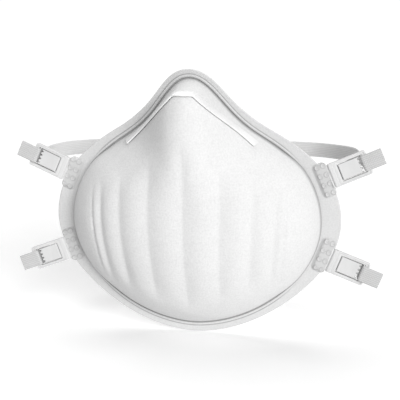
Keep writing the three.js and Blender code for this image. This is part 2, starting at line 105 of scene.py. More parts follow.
STRAP_WIDTH, STRAP, SLOT, TAIL_END, STRAP_LEAVES = 8.2, 0.9, 15.2, 25.4, 3.2
CORDS, SCALLOP, FOLD = 9, 1.3, 0.8
ROD_SIDES = 28
LOOPS = {
    "upper": [(83, 16, 22.6), (78.5, 38, 22.6), (62, 57, 22.6), (33, 66, 22.6), (0, 68, 22.6)],
    "lower": [(83.6, 16, -34.2), (78, 38, -39), (61, 56, -43.5), (33, 65, -46), (0, 67, -47)]}

# ---------------------------------------------------------------- mesh helpers


def smooth(start, end, x):
    t = np.clip((np.asarray(x, float) - start) / (end - start), 0, 1)
    return t * t * (3 - 2 * t)


def mix(a, b, t):
    return a + (b - a) * t


def stops(pairs, x):
    """Smooth steps between (position, value) pairs."""
    value = pairs[0][1]
    for (x0, _), (x1, y1) in zip(pairs, pairs[1:]):
        value = mix(value, y1, smooth(x0, x1, x))
    return value


def unit(v):
    return v / np.maximum(np.linalg.norm(v, axis=-1, keepdims=True), 1e-12)


def quads(first, second, closed, flip=False):
    """Faces between two rows of point numbers."""
    first, second = list(first), list(second)
    count = len(first) if closed else len(first) - 1
    faces = []
    for i in range(count):
        k = (i + 1) % len(first)
        face = (first[i], first[k], second[k], second[i])
        faces.append(face[::-1] if flip else face)
    return faces


def make(name, points, faces, material, uv=None, sharp=40, seam=None):
    """A mesh object from points in millimetres, shaded smooth between its sharp edges."""
    mesh = bpy.data.meshes.new(name)
    mesh.from_pydata((np.asarray(points, float) * MM).tolist(), [], faces)
    mesh.validate()
    if uv is not None:
        layer = mesh.uv_layers.new(name="UVMap")
        at = np.zeros(len(mesh.loops), int)
        mesh.loops.foreach_get("vertex_index", at)
        layer.data.foreach_set("uv", np.asarray(uv, float)[at].ravel() * MM)
    if seam is not None:
        mesh.attributes.new("seam", "FLOAT", "POINT").data.foreach_set("value", np.ravel(seam))
    mesh.shade_smooth()
    mesh.set_sharp_from_angle(angle=math.radians(sharp))
    mesh.materials.append(material)
    piece = bpy.data.objects.new(name, mesh)
    bpy.context.scene.collection.objects.link(piece)
    return piece


def sweep(sections, ring=False):
    """Points and faces of a bar through sections with the same number of points."""
    sections = np.asarray(sections, float)
    count, size = sections.shape[:2]
    number = np.arange(count * size).reshape(count, size)
    faces = []
    for i in range(count if ring else count - 1):
        faces += quads(number[i], number[(i + 1) % count], True)
    if not ring:
        faces.append(tuple(number[0][::-1]))
        faces.append(tuple(number[-1]))
    return sections.reshape(-1, 3), faces


def facing_out(points, faces):
    """The same faces, turned round if the closed form they make is inside out."""
    p = np.asarray(points, float)
    total = 0.0
    for face in faces:
        a = p[face[0]]
        for i in range(1, len(face) - 1):
            total += float(np.dot(a, np.cross(p[face[i]], p[face[i + 1]])))
    return [tuple(reversed(f)) for f in faces] if total < 0 else faces


def wander(x, y, seed, scale):
    """Gentle seeded waves over a surface, from -1 to 1."""
    rng = np.random.default_rng(seed)
    total = 0
    for _ in range(7):
        angle, phase = rng.uniform(0, 2 * math.pi, 2)
        size = scale * rng.uniform(0.6, 1.7)
        total = total + np.sin((x * math.cos(angle) + y * math.sin(angle)) / size + phase)
    return total / 7


# ---------------------------------------------------------------- rim and cup


def rim_rise(z):
    z = np.asarray(z, float)
    return np.where(z > 0, NOSE_RISE * (z / RIM_TOP) ** 2, CHIN_RISE * (z / RIM_BOTTOM) ** 2)


def centripetal(points, closed, per_span=60):
    """A smooth curve through the points."""
    p = np.asarray(points, float)
    n = len(p)
    if closed:
        p = np.concatenate([p[-1:], p, p[:2]])
    else:
        p = np.concatenate([2 * p[:1] - p[1:2], p, 2 * p[-1:] - p[-2:-1]])
        n -= 1
    t = np.linspace(0, 1, per_span, endpoint=False)[:, None]
    out = []
    for i in range(n):
        a, b, c, d = p[i:i + 4]
        e, f, g = (math.sqrt(np.linalg.norm(k)) for k in (b - a, c - b, d - c))
        m1 = ((b - a) / e - (c - a) / (e + f) + (c - b) / f) * f
        m2 = ((c - b) / f - (d - b) / (f + g) + (d - c) / g) * f
        out.append(b + m1 * t + (3 * (c - b) - 2 * m1 - m2) * t ** 2
                   + (2 * (b - c) + m1 + m2) * t ** 3)
    if not closed:
        out.append(p[-2:-1])
    return np.concatenate(out)


def oval(height, power, x):
    """Half height of an oval of a given height and squareness, at a distance from its middle."""
    return height * np.maximum(0, 1 - (x / RIM_HALF_WIDTH) ** power) ** (1 / power)


def crease(steps):
    """The line where cup and flange meet, from the top of the nose round to it again."""
    turn = np.linspace(0, 2 * math.pi, steps + 1)
    x = RIM_HALF_WIDTH * np.sin(turn)
    cheek = oval(CHEEK_TOP - RIM_WIDEST, CHEEK_POWER, np.abs(x))
    peak = (RIM_TOP - CHEEK_TOP) * np.exp(-(np.abs(x) / PEAK_WIDTH) ** PEAK_POWER)
    chin = oval(RIM_WIDEST - RIM_BOTTOM, CHIN_POWER, np.abs(x))
    return np.stack([x, RIM_WIDEST + np.where(np.cos(turn) > 0, cheek + peak, -chin)], -1)


def flange_width(angle):
    swell = FLANGE_SWELL * np.exp(-((angle - SWELL_ANGLE) / SWELL_SPREAD) ** 2)
    return mix(FLANGE_NOSE, FLANGE_EDGE, smooth(14, 34, angle)) + swell


def bead_share(angle):
    """How much of the weld bead there is: all of it at the nose and chin, none at the sides."""
    return smooth(72, 55, angle) + smooth(122, 142, angle)


class Rim:
    """Places on the crease from the top of the nose, moved in where the weld bead is."""

    def __init__(self, count, inset=0.0):
        line = crease(CREASE_STEPS)
        steps = np.linalg.norm(np.diff(line, axis=0), axis=1)
        along = np.concatenate([[0], np.cumsum(steps)])
        at = np.arange(count) / count * along[-1]
        x, z = (np.interp(at, along, line[:, k]) for k in range(2))
        reach = 40
        soften = np.exp(-np.arange(-reach, reach + 1) ** 2 / (2 * (count * CREASE_SOFTENING) ** 2))
        soften /= soften.sum()
        x, z = (np.convolve(np.concatenate([v[-reach:], v, v[:reach]]), soften, "valid")
                for v in (x, z))
        tangent = unit(np.stack([np.roll(x, -1) - np.roll(x, 1),
                                 np.roll(z, -1) - np.roll(z, 1)], -1))
        self.count = count
        self.out = np.stack([-tangent[:, 1], tangent[:, 0]], -1)
        self.angle = np.abs(np.degrees(np.arctan2(x, z)))
        self.width = flange_width(self.angle)
        moved = inset * bead_share(self.angle)
        self.x, self.z = x - self.out[:, 0] * moved, z - self.out[:, 1] * moved
        self.radius = np.hypot(self.x, self.z)
        self.base = rim_rise(self.z)

    def crest(self):
        """Share of the radius at which the nose crest crosses each spoke."""
        theta = np.radians(self.angle)
        wing = CREST_FLAT + CREST_SLOPE * CREST_HALF_WIDTH
        flat = CREST_FLAT / np.maximum(np.cos(theta), 0.2)
        side = wing / (np.cos(theta) + CREST_SLOPE * np.sin(theta))
        return mix(np.minimum(flat, side) / self.radius, CREST_SHARE,
                   smooth(45, 75, self.angle))

    def rise(self, share):
        """How far the cup stands forward at a share of each spoke."""
        angle, base = self.angle[:, None], self.base[:, None]
        power = stops(ROUNDNESS, angle)
        swell = stops(FULLNESS, angle)

        def rounded(s):
            return base * s * s + CUP_DEPTH * np.maximum(0, 1 - s ** power) ** swell

        crest = self.crest()[:, None]
        top = rounded(crest)
        s = np.minimum(share / crest, 1)
        front = CUP_DEPTH + (top - CUP_DEPTH) * s * s + NOSE_BULGE * 6.75 * s * s * (1 - s)
        bank = base + (top - base) * (1 - share) / (1 - crest)
        sharp = np.where(share < crest, front, bank)
        return mix(sharp, rounded(share), smooth(*CREST_FADE, angle))


def rib_depth(x, z, share):
    """Depth of the pressed ribs: narrow valleys that bow outward and end short of the rim."""
    bent = x * (1 + 0.08 * ((8 - z) / 50) ** 2)
    turn = np.arcsin(np.clip(bent / RIB_RADIUS, -1, 1)) / RIB_STEP
    valley = 1.1 - np.sqrt(np.sin(math.pi * turn) ** 2 + 0.01)
    valley = valley * smooth(52, 46, np.abs(bent))
    side = np.abs(x) / 50
    top, bottom = 30 - 22 * side, -52 + 16 * side
    height = smooth(top + 6, top - 10, z) * smooth(bottom - 4, bottom + 12, z)
    return RIB_DEPTH * valley * height * smooth(1, 0.9, share)


class Cup:
    """A grid over the cup's front, spoke by spoke and ring by ring."""

    def __init__(self, spokes, front, side):
        self.rim = rim = Rim(spokes, BEAD_ROOM)
        crest = rim.crest()[:, None]
        inner = crest * (np.arange(front + 1) / front)[None]
        outer = crest + (1 - crest) * ((np.arange(1, side + 1) / side) ** SIDE_RING_SPACING)[None]
        share = np.concatenate([inner, outer], axis=1)
        self.share = share
        x, z = rim.x[:, None] * share, rim.z[:, None] * share
        rise = rim.rise(share)
        apart = np.abs(np.arange(spokes)[:, None] - np.arange(spokes)[None])
        apart = np.minimum(apart, spokes - apart)
        for j in range(front):
            spread = RIDGE_ROUNDING * (1 - (j / front) ** 2)
            radius = np.maximum(rim.radius * share[:, j], 1).mean()
            weight = np.exp(-0.5 * (apart * 2 * math.pi * radius / spokes / spread) ** 2)
            rise[:, j] = weight @ rise[:, j] / weight.sum(axis=1)
        self.points = np.stack([x, -rise, z], -1)
        ahead = np.roll(self.points, -1, axis=0) - np.roll(self.points, 1, axis=0)
        outward = np.gradient(self.points, axis=1)
        normals = unit(np.cross(outward, ahead))
        normals *= np.where(normals[..., 1:2] > 0, -1, 1)
        normals[:, 0] = (0, -1, 0)
        self.normals = normals

    def sheet(self, depth, ribbed):
        x, z = self.points[..., 0], self.points[..., 2]
        down = depth + (rib_depth(x, z, self.share) if ribbed else 0)
        p = self.points - self.normals * (down * np.ones_like(x))[..., None]
        rim = self.rim
        inset = depth * EDGE_LEAN
        edge = np.stack([rim.x - rim.out[:, 0] * inset, -rim.base - GAP,
                         rim.z - rim.out[:, 1] * inset], -1)
        p[:, -1] = edge
        return p

    def seam(self):
        """Painted shade along the crease, with the darker tone of the welded edge, at each point of a
        layer, in the order that layer() makes.
        """
        away = (1 - self.share) * self.rim.radius[:, None]
        shade = 0.75 * smooth(0.9, 0.1, away)
        return np.tile(np.concatenate([[0], shade[:, 1:].T.ravel()]), 2)

    def layer(self, start, end, ribbed, crinkle=0.0, seed=0):
        """Points and faces of one closed layer between two depths."""
        spokes, rings = self.share.shape
        points, faces, last = [], [], []
        for depth, flip in ((start, False), (end, True)):
            p = self.sheet(depth, ribbed)
            if crinkle:
                wave = wander(p[..., 0], p[..., 2], seed, 3.4) * crinkle
                wave = wave * smooth(1, 0.9, self.share)
                p = p + self.normals * wave[..., None]
            first = len(points)
            points.append(p[0, 0])
            ring = None
            for j in range(1, rings):
                start_at = len(points)
                points.extend(p[:, j])
                row = range(start_at, start_at + spokes)
                if ring is None:
                    fan = [(first, row[i], row[(i + 1) % spokes]) for i in range(spokes)]
                    faces += [f[::-1] for f in fan] if flip else fan
                else:
                    faces += quads(ring, row, True, not flip)
                ring = row
            last.append(ring)
        faces += quads(last[0], last[1], True, True)
        return np.array(points), faces


# ---------------------------------------------------------------- materials


class Nodes:
    """A procedural material under construction."""

    def __init__(self, name, roughness, **sockets):
        self.material = bpy.data.materials.new(name)
        self.material.use_nodes = True
        self.tree = self.material.node_tree
        self.shader = self.tree.nodes["Principled BSDF"]
        self.shader.inputs["Roughness"].default_value = roughness
        for socket, value in sockets.items():
            self.shader.inputs[socket.replace("_", " ")].default_value = value
        coordinates = self.add("ShaderNodeTexCoord")
        self.place = coordinates.outputs["Object"]
        self.flat = coordinates.outputs["UV"]

    def add(self, kind, **settings):
        node = self.tree.nodes.new(kind)
        for key, value in settings.items():
            if key in node.inputs:
                self.put(value, node.inputs[key])
            else:
                setattr(node, key, value)
        return node

    def put(self, value, socket):
        if isinstance(value, bpy.types.NodeSocket):
            self.tree.links.new(value, socket)
        else:
            socket.default_value = value

    def stretched(self, source, scale, turn=0.0):
        node = self.add("ShaderNodeMapping", Scale=scale, Rotation=(0, 0, turn))
        self.put(source, node.inputs["Vector"])
        return node.outputs["Vector"]

    def noise(self, source, scale, detail=3.0, distortion=0.0):
        node = self.add("ShaderNodeTexNoise", Scale=scale, Detail=detail, Distortion=distortion)
        self.put(source, node.inputs["Vector"])
        return node.outputs["Fac"]

    def wave(self, source, scale, direction="X", distortion=0.0):
        node = self.add("ShaderNodeTexWave", Scale=scale, Distortion=distortion,
                        bands_direction=direction)
        self.put(source, node.inputs["Vector"])
        return node.outputs["Fac"]

    def cells(self, source, scale, feature="F1"):
        node = self.add("ShaderNodeTexVoronoi", feature=feature)
        node.inputs["Scale"].default_value = scale
        self.put(source, node.inputs["Vector"])
        return node.outputs["Distance"]

    def maths(self, operation, first, second=0.0):
        node = self.add("ShaderNodeMath", operation=operation)
        self.put(first, node.inputs[0])
        self.put(second, node.inputs[1])
        return node.outputs[0]

    def ramp(self, factor, *colours):
        node = self.add("ShaderNodeValToRGB")
        ramp = node.color_ramp
        while len(ramp.elements) < len(colours):
            ramp.elements.new(0.5)
        for element, (position, colour) in zip(ramp.elements, colours):
            element.position = position
            element.color = (*colour, 1)
        self.put(factor, node.inputs[0])
        return node.outputs["Color"]

    def bump(self, height, distance, strength=1.0, normal=None):
        node = self.add("ShaderNodeBump", Strength=strength, Distance=distance)
        self.put(height, node.inputs["Height"])
        if normal is not None:
            self.put(normal, node.inputs["Normal"])
        return node.outputs["Normal"]

    def shaded(self, colour):
        """The colour darkened towards dark grey by the mesh's point attribute: the darker tone of
        pressed welds, and painted shade in creases, in a buckle's narrow gaps and round the weld dots.
        """
        seam = self.add("ShaderNodeAttribute", attribute_name="seam").outputs["Fac"]
        blend = self.add("ShaderNodeMix", data_type="RGBA")
        factor, first, second = (next(i for i in blend.inputs if i.name == name and i.enabled)
                                 for name in ("Factor", "A", "B"))
        self.put(seam, factor)
        self.put(colour, first)
        self.put((*grey(0.3), 1), second)
        return next(o for o in blend.outputs if o.enabled)

    def finish(self, colour, normal, roughness=None):
        self.put(colour, self.shader.inputs["Base Color"])
        self.put(normal, self.shader.inputs["Normal"])
        if roughness is not None:
            self.put(roughness, self.shader.inputs["Roughness"])
        return self.material


def grey(value, warm=0.0):
    return (value + warm, value, value - warm)


def nonwoven(name, light, dark, fibre=1.0, warm=0.0):
    """Heat-pressed nonwoven: crossing fibres, fine specks and faint clouds of denser web."""
    n = Nodes(name, 0.88, Sheen_Weight=0.08, Sheen_Roughness=0.6)
    clouds = n.noise(n.place, 170, 3, 0.4)
    specks = n.noise(n.place, 1150, 2)
    hairs = [n.noise(n.stretched(n.place, scale, turn), 1700, 2, 0.6)
             for scale, turn in (((1, 0.4, 0.16), 0.5), ((0.18, 0.6, 1), -0.4))]
    web = n.maths("MULTIPLY", n.maths("ADD", hairs[0], hairs[1]), 0.5)
    shade = n.maths("ADD", n.maths("MULTIPLY", clouds, 0.15), n.maths("MULTIPLY", web, 0.35))
    shade = n.maths("ADD", shade, n.maths("MULTIPLY", specks, 0.5))
    colour = n.ramp(shade, (0.36, grey(dark, warm)), (0.6, grey(light, warm)))
    colour = n.shaded(colour)
    normal = n.bump(web, 0.00018, 0.5 * fibre)
    normal = n.bump(specks, 0.00022, 0.4 * fibre, normal)
    rough = n.maths("ADD", n.maths("MULTIPLY", web, 0.2), 0.76)
    return n.finish(colour, normal, rough)


def foam_material():
    n = Nodes("open_cell_foam", 0.95, Sheen_Weight=0.1)
    pores = n.cells(n.place, 1500)
    big = n.noise(n.place, 160, 3)
    colour = n.ramp(pores, (0.08, grey(0.42, 0.01)), (0.5, grey(0.66, 0.01)))
    return n.finish(colour, n.bump(big, 0.0006, 0.3, n.bump(pores, 0.0004, 0.7)))


def plastic(name, light, dark, alpha=1.0, roughness=0.42):
    """Moulded polypropylene: satin skin, faint flow marks, and edges a little lighter where the mesh
    is most convex.
    """
    n = Nodes(name, roughness, Coat_Weight=0.06, Coat_Roughness=0.3, Alpha=alpha,
              Subsurface_Weight=0.0)
    flow = n.noise(n.stretched(n.place, (1, 1, 0.35)), 120, 3, 0.8)
    skin = n.noise(n.place, 2600, 3)
    edge = n.add("ShaderNodeNewGeometry").outputs["Pointiness"]
    convex_edge_lightening = n.maths("MULTIPLY", n.ramp(edge, (0.5, (0, 0, 0)), (0.56, (1, 1, 1))), 0.12)
    shade = n.maths("ADD", n.maths("MULTIPLY", flow, 0.75), convex_edge_lightening)
    colour = n.shaded(n.ramp(shade, (0.25, grey(dark)), (0.62, grey(light))))
    rough = n.maths("ADD", n.maths("MULTIPLY", skin, 0.22), roughness - 0.1)
    return n.finish(colour, n.bump(flow, 0.0004, 0.12, n.bump(skin, 0.00004, 0.5)), rough)


def enamel():
    n = Nodes("white_enamel", 0.32, Coat_Weight=0.25, Coat_Roughness=0.15)
    peel = n.noise(n.place, 900, 2)
    flow = n.noise(n.place, 90, 2)
    colour = n.ramp(flow, (0.3, grey(0.84)), (0.7, grey(0.9)))
    rough = n.maths("ADD", n.maths("MULTIPLY", peel, 0.2), 0.24)
    return n.finish(colour, n.bump(peel, 0.00008, 0.4), rough)


def elastic(name, light, dark):
    """Flat braided elastic: lengthwise cords under a crossing yarn."""
    n = Nodes(name, 0.9, Sheen_Weight=0.25, Sheen_Roughness=0.5)
    cords = n.wave(n.stretched(n.flat, (1, 0.02, 1)), 330, "X", 0.5)
    yarn = n.wave(n.stretched(n.flat, (0.35, 1, 1), 0.25), 420, "Y", 1.2)
    other = n.wave(n.stretched(n.flat, (0.35, 1, 1), -0.25), 420, "Y", 1.2)
    weave = n.maths("MULTIPLY", n.maths("MAXIMUM", yarn, other), cords)
    fuzz = n.noise(n.place, 2400, 2)
    patches = n.noise(n.place, 120, 3)
    shade = n.maths("ADD", n.maths("MULTIPLY", weave, 0.55), n.maths("MULTIPLY", patches, 0.35))
    colour = n.shaded(n.ramp(shade, (0.12, grey(dark)), (0.75, grey(light))))
    normal = n.bump(fuzz, 0.0001, 0.4, n.bump(weave, 0.00025, 0.8))
    return n.finish(colour, normal)


cover_look = nonwoven("cover_nonwoven", 0.78, 0.7)
media_look = nonwoven("filter_fleece", 0.84, 0.74, 1.6, 0.006)
inner_look = nonwoven("inner_nonwoven", 0.82, 0.72, 1.2, 0.006)
flange_look = nonwoven("pressed_flange", 0.69, 0.62, 0.8)
foam_look = foam_material()
clip_look = enamel()
plate_look = plastic("milky_plate", 0.72, 0.66, 0.85, 0.5)
buckle_look = plastic("buckle_plastic", 0.74, 0.67)
tongue_look = plastic("tongue_plastic", 0.72, 0.65)
# The head straps use a lighter copy of the tails' elastic: painted light, so the strap runs read
# brighter than their lighting makes them.
strap_look = elastic("head_strap_elastic_painted_lighter", 0.9, 0.74)
tail_look = elastic("tail_elastic", 0.7, 0.52)

# ---------------------------------------------------------------- cup, flange, clip, foam

fine = Cup(432, 78, 20)
plain = Cup(216, 40, 12)
cup_layers = (
    ("cover", "outer_cover", fine, 0, COVER, True, 0.015, cover_look),
    ("fleece", "filter_media", plain, MEDIA_TOP, MEDIA_TOP + MEDIA, False, 0.03, media_look),
    ("lining", "inner_shell", plain, SHELL_TOP, SHELL_BACK, False, 0.04, inner_look),
)
for number, (name, node, grid, start, end, ribbed, crinkle, look) in enumerate(cup_layers):
    points, faces = grid.layer(start, end, ribbed, crinkle, 11 + number)
    layer = make(name, points, facing_out(points, faces), look, sharp=60,
                 seam=grid.seam())
    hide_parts(node)
    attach(layer, "mask")


def flange():
    """The pressed flange: flat ring, weld bead beside the crease and a rounded outer edge."""
    rim = Rim(480)
    width = rim.width[:, None]
    inside = np.concatenate([np.linspace(-FLANGE_INSIDE, -1.5, 7), np.linspace(-1.3, 1.3, 27)])
    rest = np.concatenate([np.linspace(0.15, 0.8, 8), np.linspace(0.84, 1, 7)])
    away = np.concatenate([inside * np.ones_like(width), mix(1.3, width, rest)], axis=1)
    bead = BEAD_HEIGHT * bead_share(rim.angle)[:, None]
    hump = np.clip(1 - ((away - (BEAD_IN + BEAD_OUT) / 2) / 0.75) ** 2, 0, 1) ** 0.7
    front = bead * hump
    front = front - FLANGE_ROUND * np.clip((away - width + FLANGE_ROUND) / FLANGE_ROUND, 0, 1) ** 2
    x = rim.x[:, None] + rim.out[:, :1] * away
    z = rim.z[:, None] + rim.out[:, 1:] * away
    sway = 0.1 * wander(x, z, 5, 5.0) * smooth(1.5, 4, away)
    top = np.stack([x, -rim_rise(z) - front - sway, z], -1)
    under = -FLANGE * np.ones_like(away)
    under = under + FLANGE_ROUND * np.clip((away - width + FLANGE_ROUND) / FLANGE_ROUND, 0, 1) ** 2
    below = np.stack([x, -rim_rise(z) - under - sway, z], -1)
    # Painted shade at the crease and just outside the weld bead, partly the darker tone of the pressed
    # weld.
    welds = bead / BEAD_HEIGHT
    inner = smooth(mix(0.35, BEAD_IN + 0.25, welds), mix(0, BEAD_IN, welds), away)
    outer = np.exp(-((away - BEAD_OUT - 0.1) / 0.28) ** 2) * welds
    shade = np.concatenate([0.85 * np.clip(inner + outer, 0, 1), np.zeros_like(away)], axis=1)
    return *sweep(np.concatenate([top, below[:, ::-1]], axis=1), True), shade


points, faces, shade = flange()
ring = make("sealing_flange", points, facing_out(points, faces), flange_look,
            seam=shade)
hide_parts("rim_flange")
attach(ring, "mask")


def bank_frames(end, count):
    """Places along the crest with the way down the bank and the bank's length, left to right."""
    rim = Rim(CREASE_STEPS, BEAD_ROOM)
    crest = rim.crest()
    rows = []
    for share in (crest, mix(crest, 1, 0.5), np.ones(rim.count)):
        rise = rim.rise(share[:, None])[:, 0]
        rows.append(np.stack([rim.x * share, -rise, rim.z * share], -1))
    side = np.degrees(np.arctan2(rim.x, rim.z))
    order = np.argsort(side)
    angles = np.linspace(-end, end, count)
    top, middle, foot = (np.stack([np.interp(angles, side[order], row[order, k])
                                   for k in range(3)], -1) for row in rows)
    down = unit(middle - top)
    along = unit(np.gradient(top, axis=0))
    normal = unit(np.cross(down, along))
    normal *= np.where(normal[:, 2:] < 0, -1, 1)
    return top, down, normal, np.linalg.norm(foot - top, axis=1), angles


def rounded_section(width, height, corner, per_corner=4):
    """Outline of a flat bar about its middle, with rounded corners."""
    points = []
    quarter = np.linspace(0, math.pi / 2, per_corner)
    centres = ((1, 1, 0), (-1, 1, 1), (-1, -1, 2), (1, -1, 3))
    for sx, sy, turn in centres:
        for a in quarter + turn * math.pi / 2:
            points.append((sx * (width / 2 - corner) + corner * math.cos(a),
                           sy * (height / 2 - corner) + corner * math.sin(a)))
    return np.array(points)


def nose_clip():
    top, down, normal, length, _ = bank_frames(CLIP_END, 140)
    sections = []
    lift = GAP + 0.1 + CLIP / 2
    for p, d, n, size in zip(top, down, normal, length):
        width = min(CLIP_WIDTH, 0.6 * size) - 0.2
        outline = rounded_section(width, CLIP, 0.3)
        middle = p + d * (0.2 + width / 2) + n * lift
        sections.append(middle + outline[:, :1] * d + outline[:, 1:] * n)
    return sweep(sections)


points, faces = nose_clip()
clip = make("nose_clip_strip", points, facing_out(points, faces), clip_look)
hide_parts("nose_clip")
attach(clip, "mask")


def nose_foam():
    """The foam strip behind the clip, crowned, with soft edges and thin ends."""
    top, down, normal, length, angles = bank_frames(FOAM_END, 90)
    sections = []
    for p, d, n, size, angle in zip(top, down, normal, length, angles):
        taper = math.sqrt(max(0.02, 1 - (abs(angle) / (FOAM_END + 0.4)) ** 10))
        start, stop = 0.22 * size, 0.66 * size
        width = (stop - start) * taper
        outline = rounded_section(width, FOAM, min(1.6, width / 3), 7)
        crown = 0.35 * (1 - (2 * outline[:, 0] / width) ** 2)
        high = outline[:, 1] * mix(0.7, 1, taper) - crown * (outline[:, 1] < 0) * 0.8
        middle = p + d * (start + stop) / 2 - n * (SHELL_BACK + GAP + 0.2 + FOAM / 2)
        sections.append(middle + outline[:, :1] * d + high[:, None] * n)
    return sweep(sections)


points, faces = nose_foam()
foam = make("nose_foam_pad", points, facing_out(points, faces), foam_look)
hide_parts("nose_foam")
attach(foam, "mask")

# ---------------------------------------------------------------- buckles


class Seat:
    """A buckle's own axes: out along it, across it and forward."""

    def __init__(self, level, side):
        x, z, tilt = BUCKLES[level]
        self.sign = SIDES[side]
        tilt = math.radians(tilt)
        self.out = np.array([self.sign * math.cos(tilt), 0, math.sin(tilt)])
        self.across = np.array([-self.sign * math.sin(tilt), 0, math.cos(tilt)])
        self.forward = np.array([0, -1.0, 0])
        self.home = np.array([self.sign * x, -(float(rim_rise(z)) + GAP + PLATE / 2), z])

    def place(self, points):
        p = np.asarray(points, float)
        return (self.home + p[..., :1] * self.out + p[..., 1:2] * self.across
                + p[..., 2:3] * self.forward)

    def on_flange(self, u, v, lift):
        """A point over the flange, which curves under the plate."""
        p = self.home + u[..., None] * self.out + v[..., None] * self.across
        return np.stack([p[..., 0], -(rim_rise(p[..., 2]) + GAP + lift), p[..., 2]], -1)


def bunched(count):
    """Steps from 0 to 1 that are closer together at both ends."""
    even = np.linspace(0, 1, count)
    return mix(even, (1 - np.cos(even * math.pi)) / 2, 0.6)


def weld_plate(seat, level):
    """The milky plate with its eight dished weld dots, its edges pressed into the flange."""
    low, high = PLATE_REACH
    turn = 1 if level == "upper" else -1
    rows, columns = 128, 56
    v = low + (high - low) * bunched(rows)
    end = np.minimum(np.minimum(v - low, high - v), PLATE_ROUND)
    cut = PLATE_ROUND - np.sqrt(np.maximum(0, PLATE_ROUND ** 2 - (PLATE_ROUND - end) ** 2))
    s = bunched(columns)
    inner, outer = PLATE_SPAN[0] + cut, PLATE_SPAN[1] - cut
    u = inner[:, None] + (outer - inner)[:, None] * s[None]
    v = np.repeat(v[:, None], columns, axis=1)
    lift, shade = np.full_like(u, PLATE_CROWN), np.zeros_like(u)
    for cu in STUD_COLUMNS:
        for cv in STUD_ROWS:
            r = np.hypot(u - cu, v - cv)
            lift += STUD_RING_HEIGHT * np.exp(-((r - STUD_RING) / STUD_RING_WIDTH) ** 2)
            # Painted shade in a ring just outside each dot's raised rim and a little in its dish.
            shade += 0.3 * np.exp(-((r - 1.3) / 0.3) ** 2) + 0.1 * smooth(0.7, 0.3, r)
    from_hinge = outer[:, None] - u
    from_edge = np.minimum(u - inner[:, None], np.minimum(v - low, high - v))
    lift -= 0.2 * smooth(0.35, 0, from_hinge)
    lift -= (PLATE_CROWN + PLATE_SINK) * smooth(PLATE_SLOPE, 0, from_edge)
    lift = np.maximum(lift, -PLATE_SINK)
    across = turn * v
    top = seat.on_flange(u, across, lift)
    under = seat.on_flange(u, across, np.full_like(u, -PLATE_SINK - 0.05))
    shade = np.concatenate([shade, np.zeros_like(shade)], axis=1)
    return *sweep(np.concatenate([top, under[:, ::-1]], axis=1)), shade.ravel()


def hinge_web(seat):
    """The thin moulded web between plate and frame."""
    u = np.linspace(-1.9, -0.3, 9)
    half = FRAME_HALF - 0.35
    sections = []
    for at in u:
        thick = 0.5 - 0.28 * math.exp(-((at + 1.05) / 0.4) ** 2)
        outline = rounded_section(2 * half, thick, thick * 0.45, 3)
        sections.append(seat.place(np.stack([np.full(len(outline), at), outline[:, 0],
                                             outline[:, 1]], -1)))
    return sweep(sections)


def tongue_web(seat):
    """The thin moulded web that the tongue turns on, low in the gap beside it."""
    outline = rounded_section(2 * (WINDOW_HALF - GAP) - 0.4, 0.3, 0.12, 3)
    sections = [seat.place(np.stack([np.full(len(outline), at), outline[:, 0],
                                     outline[:, 1] + TONGUE_WEB_LEVEL], -1))
                for at in np.linspace(WINDOW[0] - 0.1, TONGUE_PIVOT, 6)]
    # The whole web is coloured with painted gap shade.
    return *sweep(sections), np.full(len(outline) * len(sections), PAINTED_GAP_SHADE)


def corners(span, half, corner, steps, first=0.0):
    """A loop of points round a rectangle from u0 to u1, with rounded corners."""
    u0, u1 = span
    loop = []
    quarter = np.linspace(0, math.pi / 2, steps)
    for cu, cv, turn in ((u1, half, 0), (u0, half, 1), (u0, -half, 2), (u1, -half, 3)):
        su, sv = (1 if cu == u1 else -1), (1 if cv > 0 else -1)
        r = corner if cu == u1 else (first or corner)
        for a in quarter + turn * math.pi / 2:
            loop.append((cu - su * r + r * math.cos(a), cv - sv * r + r * math.sin(a)))
    return np.array(loop)


def between(loop, count):
    """The loop with its long sides filled in, count points to a side."""
    out = []
    for a, b in zip(loop, np.roll(loop, -1, axis=0)):
        steps = count if np.linalg.norm(b - a) > 2 else 1
        out += [mix(a, b, k / steps) for k in range(steps)]
    return np.array(out)


def frame_body(seat):
    """The frame: a bar round the window with a raised outer lip and softly rounded edges."""
    outer = between(corners((0.1, FRAME_LENGTH), FRAME_HALF, 0.9, 5, 0.3), 8)
    inner = between(corners(WINDOW, WINDOW_HALF, 0.3, 5), 8)
    half = FRAME / 2
    r = 0.36
    quarter = np.linspace(0, math.pi / 2, 4)
    profile = []
    # Painted shade on the inner wall round the window, fading over its rounded edges.
    shade = []
    for a in quarter:
        profile.append((r - r * math.cos(a), 0, half - 0.22 - r + r * math.sin(a)))
        shade.append(PAINTED_GAP_SHADE * math.cos(a) ** 2)
    profile.append((0, 0.45, half - 0.22))
    profile.append((0, 0.5, half - 0.3))
    profile.append((0, 0.62, half - 0.3))
    profile.append((0, 0.66, half))
    for a in quarter[::-1]:
        profile.append((-r + r * math.cos(a), 1, half - r + r * math.sin(a)))
    for a in quarter:
        profile.append((-r + r * math.cos(a), 1, -half + r - r * math.sin(a)))
    shade += [0] * (len(profile) - len(shade))
    for a in quarter[::-1]:
        profile.append((r - r * math.cos(a), 0, -half + r - r * math.sin(a)))
        shade.append(PAINTED_GAP_SHADE * math.cos(a) ** 2)
    sections = []
    for p, q in zip(inner, outer):
        way = unit(q - p)
        rows = []
        for offset, t, n in profile:
            at = mix(p, q, t) + way * offset
            rows.append((at[0], at[1], n))
        sections.append(seat.place(rows))
    return *sweep(sections, True), np.tile(shade, len(sections))


